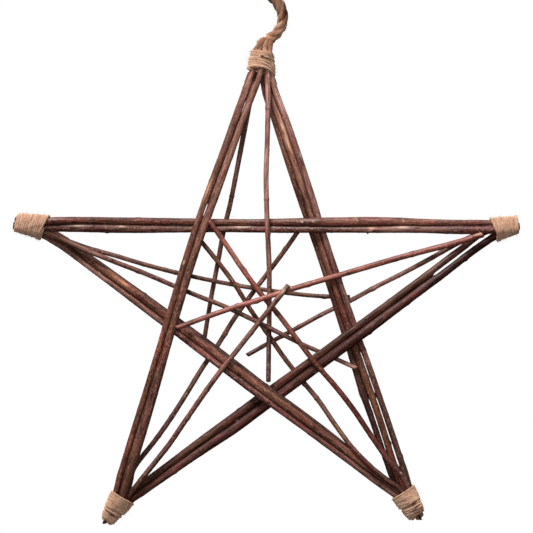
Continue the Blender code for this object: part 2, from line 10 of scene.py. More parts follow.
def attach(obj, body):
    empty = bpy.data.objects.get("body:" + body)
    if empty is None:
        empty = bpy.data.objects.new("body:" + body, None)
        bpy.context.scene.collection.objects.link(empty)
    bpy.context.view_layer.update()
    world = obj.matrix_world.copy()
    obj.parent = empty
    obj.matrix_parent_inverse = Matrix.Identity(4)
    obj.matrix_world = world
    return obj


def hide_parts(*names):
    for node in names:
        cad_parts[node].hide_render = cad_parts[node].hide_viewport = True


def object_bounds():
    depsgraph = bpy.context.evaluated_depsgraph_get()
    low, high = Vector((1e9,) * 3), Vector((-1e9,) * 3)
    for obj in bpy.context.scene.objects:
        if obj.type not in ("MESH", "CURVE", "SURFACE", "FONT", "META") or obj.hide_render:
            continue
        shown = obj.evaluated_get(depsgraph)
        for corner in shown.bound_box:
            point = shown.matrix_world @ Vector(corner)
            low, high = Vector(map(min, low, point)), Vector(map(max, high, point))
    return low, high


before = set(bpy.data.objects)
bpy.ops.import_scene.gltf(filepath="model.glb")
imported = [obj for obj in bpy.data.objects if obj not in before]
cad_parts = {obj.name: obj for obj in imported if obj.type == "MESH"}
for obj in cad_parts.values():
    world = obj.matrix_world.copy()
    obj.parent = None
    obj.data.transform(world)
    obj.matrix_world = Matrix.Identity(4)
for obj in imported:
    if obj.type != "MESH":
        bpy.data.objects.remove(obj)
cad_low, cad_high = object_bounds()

MM = 0.001
MM_PER_PIXEL = 1.1
PHOTO_PIXELS = 533
MIDDLE_PIXEL = (262.0, 306.5)
HOOK_HEIGHT = 347.0  # the hook above the middle of the star, mm
FULL_TURN = 2 * math.pi
FRONT = np.array([0.0, -1.0, 0.0])
RNG = np.random.default_rng(7)


def place(across, depth, up):
    """Metres from the hook, from millimetres off the middle of the star."""
    return np.array([across * MM, depth * MM, (up - HOOK_HEIGHT) * MM])


def add_object(name, data):
    made = bpy.data.objects.new(name, data)
    bpy.context.scene.collection.objects.link(made)
    return made


# Camera
CAMERA_DISTANCE = 6.0
SENSOR = 36.0
FARTHEST_SEEN = 100
half_frame = PHOTO_PIXELS / 2
aim = place((half_frame - MIDDLE_PIXEL[0]) * MM_PER_PIXEL, 0.0, (MIDDLE_PIXEL[1] - half_frame) * MM_PER_PIXEL)
camera = add_object("camera", bpy.data.cameras.new("camera"))
camera.data.sensor_width = SENSOR
camera.data.lens = SENSOR * CAMERA_DISTANCE / (PHOTO_PIXELS * MM_PER_PIXEL * MM)
camera.location = Vector(aim) - Vector((0, CAMERA_DISTANCE, 0))
camera.rotation_euler = (math.radians(90), 0, 0)
camera.data.clip_end = FARTHEST_SEEN
bpy.context.scene.camera = camera
bpy.context.scene.view_settings.view_transform = "Standard"


# Meshes

def add_mesh(name, points, faces, smooth=True, **attributes):
    """An object from points and faces, with a float or vector attribute per point."""
    mesh = bpy.data.meshes.new(name)
    mesh.from_pydata(np.asarray(points).tolist(), [], faces)
    if smooth:
        mesh.shade_smooth()
    for key, values in attributes.items():
        values = np.asarray(values, np.float32)
        kind, field = ("FLOAT", "value") if values.ndim == 1 else ("FLOAT_VECTOR", "vector")
        mesh.attributes.new(key, kind, "POINT").data.foreach_set(field, values.ravel())
    return add_object(name, mesh)


def add_piece(name, points, faces, material, slot, *nodes, **attributes):
    """A piece of the star, from rows of millimetres off its middle, that may take the place of solids."""
    points = points * MM
    points[:, 2] -= HOOK_HEIGHT * MM
    made = add_mesh(name, points, faces, **attributes)
    made.data.materials.append(material)
    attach(made, "root")
    if nodes:
        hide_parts(*nodes)
    return made


def neighbours(columns):
    return [(column, (column + 1) % columns) for column in range(columns)]


def grid_faces(rows, columns):
    """Quads of a grid of points that closes on itself across its columns."""
    return [(first + a, first + b, first + b + columns, first + a + columns)
            for first in range(0, (rows - 1) * columns, columns) for a, b in neighbours(columns)]


def closed_faces(rows, columns):
    """A grid's faces and a fan at each end, round the two points that follow those of the grid."""
    last, middle = (rows - 1) * columns, rows * columns
    return [*grid_faces(rows, columns), *((b, a, middle) for a, b in neighbours(columns)),
            *((last + a, last + b, middle + 1) for a, b in neighbours(columns))]


def lengths(line):
    return np.concatenate([[0.0], np.cumsum(np.linalg.norm(np.diff(line, axis=0), axis=1))])


def unit(vectors):
    return vectors / np.maximum(np.linalg.norm(vectors, axis=-1, keepdims=True), 1e-12)


def rising(value, start, end):
    """0 up to a start, 1 from an end on and even between them. The end may also be the lower one."""
    return np.clip((value - start) / (end - start), 0.0, 1.0)


def mound(along, long, aside=0.0, wide=1.0):
    """A smooth hump of height 1, by the distances from its middle, its half length and its half width."""
    return np.exp(-(along / long) ** 2 - (aside / wide) ** 2)


def ring_turns(sides):
    """The turns of points spaced evenly round an axis."""
    return FULL_TURN * np.arange(sides) / sides


def turn_from(turn, angle):
    """How far a turn lies from an angle, by the shorter way round."""
    return (turn - angle + math.pi) % FULL_TURN - math.pi


def outwards(turn, first, second):
    """Directions at turns that start at a first direction and go towards a second."""
    return np.cos(turn)[..., None] * first + np.sin(turn)[..., None] * second


def grain_round(at, radius, turn):
    """Where points lie in the rod or yarn, for its pattern."""
    return np.stack(np.broadcast_arrays(at, radius * np.cos(turn), radius * np.sin(turn)), axis=-1)


FINE_STEPS = 40  # steps to a point of a route while it is smoothed


def resample(points, spacing):
    """Points at even spacing on a smooth curve through the given ones."""
    points = np.array(points, float)
    at = lengths(points[:, :3])
    before = np.maximum(np.arange(len(points)) - 1, 0)
    after = np.minimum(np.arange(len(points)) + 1, len(points) - 1)
    tangents = (points[after] - points[before]) / (at[after] - at[before])[:, None]
    distance = np.linspace(0.0, at[-1], FINE_STEPS * len(points))
    i = np.clip(np.searchsorted(at, distance, side="right") - 1, 0, len(points) - 2)
    span = (at[i + 1] - at[i])[:, None]
    u = (distance - at[i])[:, None] / span
    fine = (2 * u**3 - 3 * u**2 + 1) * points[i] + (u**3 - 2 * u**2 + u) * span * tangents[i]
    fine += (3 * u**2 - 2 * u**3) * points[i + 1] + (u**3 - u**2) * span * tangents[i + 1]
    length = lengths(fine[:, :3])
    even = np.linspace(0.0, length[-1], max(3, round(length[-1] / spacing) + 1))
    return np.stack([np.interp(even, length, fine[:, k]) for k in range(points.shape[1])], axis=1)


def front_frames(line):
    """Directions along a line that lies across the view, towards the front and to the side."""
    along = unit(np.gradient(line, axis=0))
    front = unit(FRONT - along * -along[:, 1:2])
    return along, front, np.cross(along, front)


ASLANT = (0.3, 0.2, 0.93)  # a direction that no free line starts along


def carried_frames(line):
    """Two directions across a free line that turn as little as they can."""
    along = unit(np.gradient(line, axis=0))
    first = np.cross(along[0], ASLANT)
    out = [first / np.linalg.norm(first)]
    for direction in along[1:]:
        carried = out[-1] - direction * (out[-1] @ direction)
        out.append(carried / np.linalg.norm(carried))
    out = np.array(out)
    return out, np.cross(along, out)


def ripple(rng, along, turn, amount, waves, around, count=7):
    """A smooth random relief, by the shortest and longest wave along and the fewest and most around."""
    total = np.zeros(np.broadcast(along, turn).shape)
    for _ in range(count):
        rate = FULL_TURN / rng.uniform(*waves) * rng.choice([-1, 1])
        times = rng.integers(around[0], around[1] + 1)
        total += np.cos(rate * along + times * turn + rng.uniform(0, FULL_TURN))
    return amount * total / math.sqrt(count)


# Shaders

def node_tree(name):
    made = bpy.data.materials.new(name)
    made.use_nodes = True
    return made, made.node_tree, made.node_tree.nodes["Principled BSDF"]


def set_inputs(tree, node, inputs):
    """A node's inputs, set to values and colours or linked from sockets."""
    for key, value in inputs.items():
        socket = node.inputs[key]
        if isinstance(value, bpy.types.NodeSocket):
            tree.links.new(value, socket)
        else:
            socket.default_value = (*value, 1.0) if socket.type == "RGBA" else value


def add_node(tree, kind, inputs, output=0, **settings):
    """An output of a new shader node with its settings and inputs."""
    made = tree.nodes.new(kind)
    for key, value in settings.items():
        setattr(made, key, value)
    set_inputs(tree, made, inputs)
    return made.outputs[output]


def attribute(tree, name, output="Fac"):
    return add_node(tree, "ShaderNodeAttribute", {}, output, attribute_name=name)


def noise(tree, stretch, detail, offset=0.0):
    """Noise over the grain attribute, drawn out along the rod or twine."""
    grain = {"Vector": attribute(tree, "grain", "Vector"), "Scale": stretch, "Location": (offset,) * 3}
    grain = add_node(tree, "ShaderNodeMapping", grain)
    return add_node(tree, "ShaderNodeTexNoise", {"Vector": grain, "Scale": 1.0, "Detail": detail}, "Fac")


def ramp(tree, factor, stops):
    made = add_node(tree, "ShaderNodeValToRGB", {"Fac": factor}, "Color")
    elements = made.node.color_ramp.elements
    while len(elements) < len(stops):
        elements.new(0.5)
    for element, (position, colour) in zip(elements, stops):
        element.position = position
        element.color = (*colour, 1.0)
    return made


def mix(tree, factor, first, second, mode="MIX"):
    inputs = {0: factor, 6: first, 7: second}
    return add_node(tree, "ShaderNodeMix", inputs, 2, data_type="RGBA", blend_type=mode)


def blotted(tree, colour, blot, pattern, *stops):
    """A colour under another, by how strong that one is at two values of a pattern."""
    return mix(tree, ramp(tree, pattern, [(value, (share,) * 3) for value, share in stops]), colour, blot)


def tinted(tree, colour, tint):
    return mix(tree, 1.0, colour, tint, "MULTIPLY")


def relief(tree, texture, height, distance):
    """Fine relief in the light on a surface, below the size of its mesh."""
    return add_node(tree, "ShaderNodeBump", {"Height": texture, "Strength": height, "Distance": distance})


WHITE = (1.0, 1.0, 1.0)

# Bark colours: dark, middle and warm streaks, and blotches
BARKS = {
    "brown": ((0.03, 0.01, 0.006), (0.128, 0.046, 0.03), (0.27, 0.124, 0.088), (0.175, 0.064, 0.038)),
    "umber": ((0.028, 0.01, 0.007), (0.112, 0.044, 0.03), (0.255, 0.125, 0.09), (0.16, 0.066, 0.036)),
    "orange": ((0.036, 0.011, 0.006), (0.155, 0.053, 0.032), (0.31, 0.134, 0.084), (0.24, 0.088, 0.044)),
    "purple": ((0.03, 0.01, 0.007), (0.124, 0.045, 0.034), (0.29, 0.142, 0.116), (0.17, 0.06, 0.044)),
    "red": ((0.04, 0.009, 0.006), (0.19, 0.046, 0.031), (0.37, 0.138, 0.1), (0.245, 0.062, 0.036)),
    "plum": ((0.03, 0.009, 0.008), (0.122, 0.042, 0.034), (0.255, 0.108, 0.09), (0.2, 0.055, 0.044)),
    "rust": ((0.03, 0.01, 0.006), (0.135, 0.049, 0.031), (0.285, 0.124, 0.086), (0.21, 0.072, 0.04)),
    "moss": ((0.028, 0.012, 0.007), (0.112, 0.047, 0.032), (0.24, 0.115, 0.086), (0.155, 0.066, 0.042)),
}
BARKS["loose"] = BARKS["red"]

# The pale colour the bark takes where it is lighter along the rod, partly a grey bloom and partly painted
# light, by how light its streaks are, and its tint on some barks
BLOOM = [(0.34, (0.19, 0.09, 0.064)), (0.51, (0.43, 0.225, 0.168)), (0.68, (0.68, 0.42, 0.34))]
TINTS = {
    "red": (1.06, 0.72, 0.74), "orange": (1.0, 0.94, 0.92), "purple": (1.12, 1.1, 1.16),
    "rust": (1.1, 0.84, 0.8),
}

# How strongly a bark shines, and how strong its painted glints are: light flecks that stand in for glossy
# highlights
SATIN = (0.42, 0.75)
DULL = (0.22, 0.35)
GLOSS = {"plum": DULL, "moss": DULL}

# How the hue wanders along a rod: from olive over neutral to ruddy, or to mauve on umber bark
OLIVE = (0.84, 0.94, 0.73)
NEUTRAL = (0.9, 0.9, 0.9)
RUDDY = (1.0, 0.72, 0.74)
MAUVE = (1.0, 0.88, 0.96)

# Stains, long darker stretches, and the colours where the bark is dark or broken; the dark colour also paints
# shade in seams and gaps
STAINS = [(0.36, (0.6, 0.53, 0.46)), (0.49, WHITE), (0.64, (1.0, 0.8, 0.78))]
STRETCHES = [(0.36, (0.6, 0.56, 0.56)), (0.62, WHITE)]
KNOTTED = (0.02, 0.008, 0.006)
PEELED = (0.62, 0.29, 0.155)
CHIPPED = (0.8, 0.56, 0.42)
CUT_WOOD = [(0.3, (0.16, 0.09, 0.055)), (0.7, (0.38, 0.25, 0.16))]
BARK_ROUGHNESS = (0.32, 0.56)


def bark_material(name, bark, seed):
    """Willow bark: streaks along the rod, blotches, dark flecks and light ones that are painted glints,
    peeled places and chips (some of them painted light), painted light and shade along the rod and in its
    seams, and cut ends.
    """
    dark, middle, warm, patch = BARKS[bark]
    shine, flecked = GLOSS.get(bark, SATIN)
    made, tree, shader = node_tree(name)
    streaks = noise(tree, (0.055, 0.9, 0.9), 5.0, seed)
    colour = ramp(tree, streaks, [(0.34, dark), (0.5, middle), (0.68, warm)])
    blotches = noise(tree, (0.06, 0.22, 0.22), 4.0, seed + 5)
    colour = blotted(tree, colour, patch, blotches, (0.5, 0.0), (0.66, 0.85))
    tint = TINTS.get(bark, WHITE)
    bloom = ramp(tree, streaks, [(at, tuple(t * c for t, c in zip(tint, shade))) for at, shade in BLOOM])
    hue = noise(tree, (0.022, 0.05, 0.05), 2.0, seed + 17)
    reddest = MAUVE if bark == "umber" else RUDDY
    colour = tinted(tree, colour, ramp(tree, hue, [(0.35, OLIVE), (0.5, NEUTRAL), (0.63, reddest)]))
    # The pale bloom colour, partly painted light, where the rod is lighter along its length
    colour = mix(tree, attribute(tree, "bloom"), colour, bloom)
    mottle = noise(tree, (0.045, 0.42, 0.42), 4.0, seed + 21)
    colour = tinted(tree, colour, ramp(tree, mottle, STAINS))
    flecks = noise(tree, (0.35, 1.1, 1.1), 3.0, seed + 9)
    # Light flecks: painted glints
    lightest = tuple(min(1.6 * c + 0.05, 0.8) for c in warm)
    colour = blotted(tree, colour, lightest, flecks, (0.57, 0.0), (0.68, flecked))
    darkest = tuple(0.5 * c for c in dark)
    colour = blotted(tree, colour, darkest, flecks, (0.3, 0.7), (0.4, 0.0))
    drift = noise(tree, (0.014, 0.04, 0.04), 2.0, seed + 13)
    colour = tinted(tree, colour, ramp(tree, drift, STRETCHES))
    # Painted shade along the rod, where it is darker along its length
    colour = tinted(tree, colour, attribute(tree, "shade", "Color"))
    wood = ramp(tree, streaks, CUT_WOOD)
    for where, over in (("knot", KNOTTED), ("peel", PEELED), ("chip", CHIPPED), ("cut", wood)):
        colour = mix(tree, attribute(tree, where), colour, over)
    smoothest, roughest = BARK_ROUGHNESS
    set_inputs(tree, shader, {
        "Base Color": colour, "Specular IOR Level": shine,
        "Roughness": add_node(tree, "ShaderNodeMapRange", {0: blotches, 3: smoothest, 4: roughest}),
        "Normal": relief(tree, noise(tree, (0.14, 1.3, 1.3), 6.0, seed + 2), 0.45, 0.0006),
    })
    return made


# The colour of painted shade: in hollows of the twine, below the neck's folded strand and on the rope's top
# and right side
SOIL_COLOUR = (0.05, 0.022, 0.013)
FADED_LENGTHS = [(0.36, (0.76, 0.7, 0.65)), (0.56, WHITE)]


def fibre_material(name, dark, middle, light, stain):
    """Jute: hairy fibres laid along the yarn, with painted shade between the plies, in hollows of the twine
    and on parts of the rope.
    """
    made, tree, shader = node_tree(name)
    fibres = noise(tree, (0.16, 2.2, 2.2), 5.0)
    colour = ramp(tree, fibres, [(0.34, dark), (0.5, middle), (0.66, light)])
    along = noise(tree, (0.045, 0.0, 0.0), 2.0, 11.0)
    colour = tinted(tree, colour, ramp(tree, along, FADED_LENGTHS))
    blotches = noise(tree, (0.07, 0.1, 0.1), 3.0, 4.0)
    colour = blotted(tree, colour, stain, blotches, (0.46, 0.0), (0.66, 0.6))
    colour = blotted(tree, colour, light, blotches, (0.34, 0.4), (0.46, 0.0))
    # Painted shade between the plies and over the core that shows between turns
    colour = mix(tree, attribute(tree, "valley"), colour, tuple(0.45 * c for c in dark))
    # Painted shade in hollows of the twine, below the neck's folded strand and on the rope's top and right
    # side
    colour = mix(tree, attribute(tree, "soil"), colour, SOIL_COLOUR)
    set_inputs(tree, shader, {
        "Base Color": colour, "Roughness": 0.85, "Diffuse Roughness": 1.0, "Specular IOR Level": 0.12,
        "Sheen Weight": 0.05, "Sheen Roughness": 0.5,
        "Normal": relief(tree, noise(tree, (0.25, 3.0, 3.0), 5.0, 2.0), 0.5, 0.0004),
    })
    return made


# By slot: dark, middle and light fibres, and stains
JUTE = {name: fibre_material(name, *colours) for name, colours in {
    "jute_twine": ((0.415, 0.228, 0.142), (0.59, 0.368, 0.248), (0.73, 0.51, 0.375), (0.48, 0.27, 0.182)),
    "jute_rope": ((0.2, 0.086, 0.05), (0.445, 0.242, 0.15), (0.71, 0.44, 0.29), (0.335, 0.122, 0.085)),
}.items()}


# Yarns and loose fibres
UNEVEN_YARN = (0.03, (3.0, 12.0), (0, 3))
TAPERED = 0.35  # a tapered yarn's thickness at its ends
HAIR_SIDES = 3
HAIR_RADIUS = 0.07
HAIR_LEAN = 1.2  # how freely loose fibres lean away from upright
HAIR_LENGTHS = (1.5, 5.0)


def yarn_tube(line, radius, sides, lay, lobes, depth, shade, rng, taper=0.0):
    """Points, faces, grain and painted shade between the plies of a twisted yarn or strand along a line."""
    out, beside = carried_frames(line)
    at = lengths(line)[:, None]
    turn = ring_turns(sides)[None]
    ridge = np.sqrt((1 + np.cos(lobes * turn - FULL_TURN * at / lay)) / 2)
    size = np.asarray(radius, float).reshape(-1, 1) * (1.0 - depth + depth * ridge)
    size = size * (1.0 + ripple(rng, at, turn, *UNEVEN_YARN))
    if taper:
        ends = np.minimum(at, at[-1] - at)
        size = size * np.clip(TAPERED + (1.0 - TAPERED) * ends / taper, 0.0, 1.0)
    points = line[:, None] + size[..., None] * outwards(turn, out[:, None], beside[:, None])
    grain = grain_round(at, np.mean(radius), turn - FULL_TURN * at / (lay * lobes)).reshape(-1, 3)
    valley = np.clip(0.75 - 1.6 * ridge, 0.0, 1.0) * np.ones_like(size)
    points = np.concatenate([points.reshape(-1, 3), line[[0, -1]]])
    grain = np.concatenate([grain, grain[[0, -1]]])
    valley = shade * np.concatenate([valley.reshape(-1), [0.5, 0.5]])
    return points, closed_faces(len(line), sides), grain, valley


def joined(parts):
    """Several meshes' points, faces and attributes as one."""
    points, groups, grain, valley = zip(*parts)
    firsts = np.cumsum([0, *map(len, points)]).tolist()
    faces = [tuple(i + first for i in face) for first, group in zip(firsts, groups) for face in group]
    return np.concatenate(points), faces, np.concatenate(grain), np.concatenate(valley)


def hair(start, direction, length, rng, radius=HAIR_RADIUS, curl=0.5, steps=4):
    """A single loose fibre as a three-sided tapering tube."""
    spots = [np.array(start, float)]
    heading = np.array(direction, float)
    for _ in range(steps):
        heading = heading + rng.normal(0, curl, 3) * 0.5
        heading /= np.linalg.norm(heading)
        spots.append(spots[-1] + heading * length / steps)
    line = np.array(spots)
    out, beside = carried_frames(line)
    size = radius * np.linspace(1.0, 0.4, len(line))[:, None, None]
    points = line[:, None] + size * outwards(ring_turns(HAIR_SIDES)[None], out[:, None], beside[:, None])
    count = len(line) * HAIR_SIDES
    faces = [*grid_faces(len(line), HAIR_SIDES), (2, 1, 0), (count - 3, count - 2, count - 1)]
    grain = np.stack([np.repeat(np.arange(len(line)), HAIR_SIDES), RNG.random(count), RNG.random(count)], 1)
    return points.reshape(-1, 3), faces, grain.astype(float), np.zeros(count)


def hairs_on(points, normals, count, reach, rng):
    """Loose fibres that stand off a surface given by lists of rows of points and normals."""
    points, normals = np.concatenate(points), np.concatenate(normals)
    made = []
    for i in rng.choice(len(points), count):
        direction = normals[i] + rng.normal(0, HAIR_LEAN, 3)
        direction += normals[i] * max(0.0, 0.3 - direction @ normals[i])
        length = rng.uniform(*reach)
        made.append(hair(points[i] - 0.2 * normals[i], direction / np.linalg.norm(direction), length, rng))
    return made


def add_jute(name, parts, slot, soiled, *nodes):
    """One piece from twisted yarns and loose fibres."""
    points, faces, grain, valley = joined(parts)
    return add_piece(name, points, faces, JUTE[slot], slot, *nodes, grain=grain, valley=valley,
                     soil=soiled(points))


# The hanging rope: three strands laid round one another. The route is that of the CAD cord.
ROPE_THICKNESS = 12.0
ROPE_HALF_ROUTE = [
    (9.5, -8, 294.5), (14.5, -10.5, 299), (19, -14, 304.5), (21.8, -17.5, 310.5),
    (22.8, -20.5, 317), (22.2, -23, 323.5), (19.8, -24.5, 330), (15.5, -24.5, 336.5),
    (10, -22, 342.5), (5, -16.5, 348), (1.5, -9, 351.8), (0, 0, 353),
]
ROPE_STEP = 0.8
STRANDS = 3
STRAND_RADIUS = 3.35
STRAND_LAY = 34.0
STRAND_START = 0.9  # the turn at which the first strand sets out
STRAND_SIDES = 20
YARN_LAY = 13.0
YARNS = 5  # that show round a strand
ROPE_SKIN = 5.6  # where its loose fibres start
ROPE_HAIRS = 420


def handled(points):
    """Painted shade at the top of the rope, stronger on its right side."""
    high = rising(points[:, 2], 318.0, 334.0)
    right = rising(points[:, 0], 21.5, 24.5) * rising(points[:, 2], 312.0, 322.0)
    return np.maximum(0.55 * high, 0.95 * right)


def add_rope_loop():
    back = [(across, -depth, up) for across, depth, up in ROPE_HALF_ROUTE[-2::-1]]
    line = resample(ROPE_HALF_ROUTE + back, ROPE_STEP)
    out, beside = carried_frames(line)
    at = lengths(line)
    parts, skin, normals = [], [], []
    rng = np.random.default_rng(11)
    for k in range(STRANDS):
        turn = FULL_TURN * (k / STRANDS + at / STRAND_LAY) + STRAND_START
        centre = line + (ROPE_THICKNESS / 2 - STRAND_RADIUS) * outwards(turn, out, beside)
        swell = STRAND_RADIUS * (1 + 0.03 * np.sin(at / 5.0 + k))
        parts.append(yarn_tube(centre, swell, STRAND_SIDES, -YARN_LAY, YARNS, 0.07, 0.6, rng))
        for spin in (-0.7, 0.0, 0.7):
            normals.append(outwards(turn + spin, out, beside))
            skin.append(line + ROPE_SKIN * normals[-1])
    rope = add_jute("rope_three_strand", parts, "jute_rope", handled, "rope_loop")
    fibres = hairs_on(skin, normals, ROPE_HAIRS, HAIR_LENGTHS, rng)
    loose = add_jute("rope_loose_fibres", fibres, "jute_rope", handled)


add_rope_loop()


# Rods and twigs

def corners_of(node):
    """The node's corners in millimetres from the middle of the star, each once."""
    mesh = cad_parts[node].data
    found = np.zeros(len(mesh.vertices) * 3, np.float32)
    mesh.vertices.foreach_get("co", found)
    found = found.reshape(-1, 3).astype(float) / MM
    found[:, 2] += HOOK_HEIGHT
    return np.unique(np.round(found, 3), axis=0)


def rod_rings(node, sides):
    """Centre and radius of each of the rod's rings, from the left, or from the top of an upright one."""
    corners = corners_of(node)
    spread = corners - corners.mean(axis=0)
    direction = np.linalg.svd(spread, full_matrices=False)[2][0]
    lying = abs(direction[0]) > 0.5 * abs(direction[2])
    direction *= np.sign(direction[0] if lying else -direction[2])
    rings = corners[np.argsort(spread @ direction)].reshape(-1, sides, 3)
    centres = rings.mean(axis=1)
    slice_angle = FULL_TURN / sides
    radii = np.linalg.norm(rings - centres[:, None], axis=2).mean(axis=1)
    radii *= math.sqrt(math.sin(slice_angle) / slice_angle)
    return np.concatenate([centres, radii[:, None]], axis=1)


# For each rod or twig: its bark, and how light it is at its start, middle and end, partly its own tone and
# partly
# painted light and shade: lighter towards the top of the star, darker lower down and in the shade of other
# rods.
# A start is at the left, or at the top of the rods that stand upright. What is lighter than 1 has more of the
# pale bloom colour, up to the most; what is darker than 1 darkens the bark.
RODS = {
    "crossbar_upper": ("rust", (0.82, 0.88, 1.35)), "crossbar_lower": ("purple", (0.72, 0.9, 0.9)),
    "upper_left_outer": ("orange", (2.4, 1.3, 0.5)), "upper_left_inner": ("brown", (2.6, 1.15, 0.74)),
    "upper_right_inner": ("brown", (1.62, 0.63, 0.27)), "upper_right_middle": ("orange", (3.4, 1.17, 0.7)),
    "upper_right_outer": ("purple", (3.3, 1.45, 0.33)),
    "lower_right_upper": ("orange", (1.3, 1.13, 1.62)), "lower_right_lower": ("purple", (2.1, 0.99, 2.16)),
    "lower_right_hidden": ("brown", (0.4, 0.54, 0.45)),
    "lower_left_upper": ("moss", (0.76, 0.84, 0.9)), "lower_left_lower": ("plum", (1.05, 0.62, 0.5)),
}
TWIGS = {
    "twig_top_short": ("umber", (1.75, 1.05, 0.7)), "twig_top_long": ("purple", (3.46, 2.3, 0.62)),
    "twig_left_upper": ("umber", (1.5, 0.73, 0.93)), "twig_left_lower": ("purple", (2.6, 0.9, 1.9)),
    "twig_right_upper": ("red", (2.0, 1.95, 1.5)), "twig_right_lower": ("brown", (0.98, 2.05, 0.38)),
    "twig_lower_right_outer": ("red", (2.5, 0.86, 0.48)),
    "twig_lower_right_inner": ("brown", (0.85, 1.25, 0.55)),
    "twig_lower_left_outer": ("umber", (0.78, 1.08, 1.03)),
    "twig_lower_left_inner": ("umber", (0.76, 1.15, 1.55)),
}
MOST_BLOOM = 0.9

# Rods that lie against one another, and the slits that show daylight between them: across and up at both
# ends of each, and the share of it that is closed
SIDE_BY_SIDE = [
    ("upper_left_outer", "upper_left_inner"), ("crossbar_upper", "crossbar_lower"),
    ("upper_right_inner", "upper_right_middle"), ("upper_right_middle", "upper_right_outer"),
    ("lower_right_upper", "lower_right_lower"), ("lower_right_upper", "lower_right_hidden"),
    ("lower_left_upper", "lower_left_lower"),
]
SLITS = [
    ((-18.4, 223.5), (-20.2, 215.5), 0.72), ((-62, 110), (-64, 104), 0.3), ((110, -53), (122.5, -91), 0.45),
    ((127, -103.5), (150, -172), 0.4), ((119, -106), (135, -155), 0.4), ((192, 37), (248, 78), 0),
]


def closing(places):
    """How far rods beside one another close up, at places across and up: less at the slits."""
    closed = np.ones(len(places))
    for first, last, least in SLITS:
        first, last = np.array(first, float), np.array(last, float)
        run = last - first
        u = np.clip((places - first) @ run / (run @ run), 0.0, 1.0)
        away = np.linalg.norm(places - first - u[:, None] * run, axis=1)
        closed = np.minimum(closed, least + (1.0 - least) * rising(away, 1.5, 5.5))
    return closed


WIDEST_GAP = 4.4  # rods farther apart than this don't close up
PRESSED = 0.12  # how far the barks of two rods reach into each other


def leaning(name, line, radius, outward):
    """How far the bark stands out to meet the rods beside it, and how much painted shade it gets at the seam
    between them.
    """
    swell = np.zeros(outward.shape[:2])
    seam = np.zeros(outward.shape[:2])
    others = [b if a == name else a for a, b in SIDE_BY_SIDE if name in (a, b)]
    for other in others:
        beside = FINE[other]
        apart = beside[None, :, :3] - line[:, None]
        distance = np.linalg.norm(apart, axis=2)
        nearest = distance.argmin(axis=1)
        picked = np.arange(len(line)), nearest
        toward = apart[picked]
        gap = distance[picked] - radius[:, 0] - beside[nearest, 3]
        share = np.clip((WIDEST_GAP - gap) / 0.8, 0.0, 1.0) * closing((line + toward / 2)[:, [0, 2]])
        turned = np.clip(np.einsum("rsk,rk->rs", outward, unit(toward)), 0.0, 1.0)
        swell = np.maximum(swell, turned**3 * (share * (gap / 2 + PRESSED))[:, None])
        seam = np.maximum(seam, np.clip((turned - 0.78) / 0.14, 0.0, 1.0) * share[:, None])
    return swell, seam


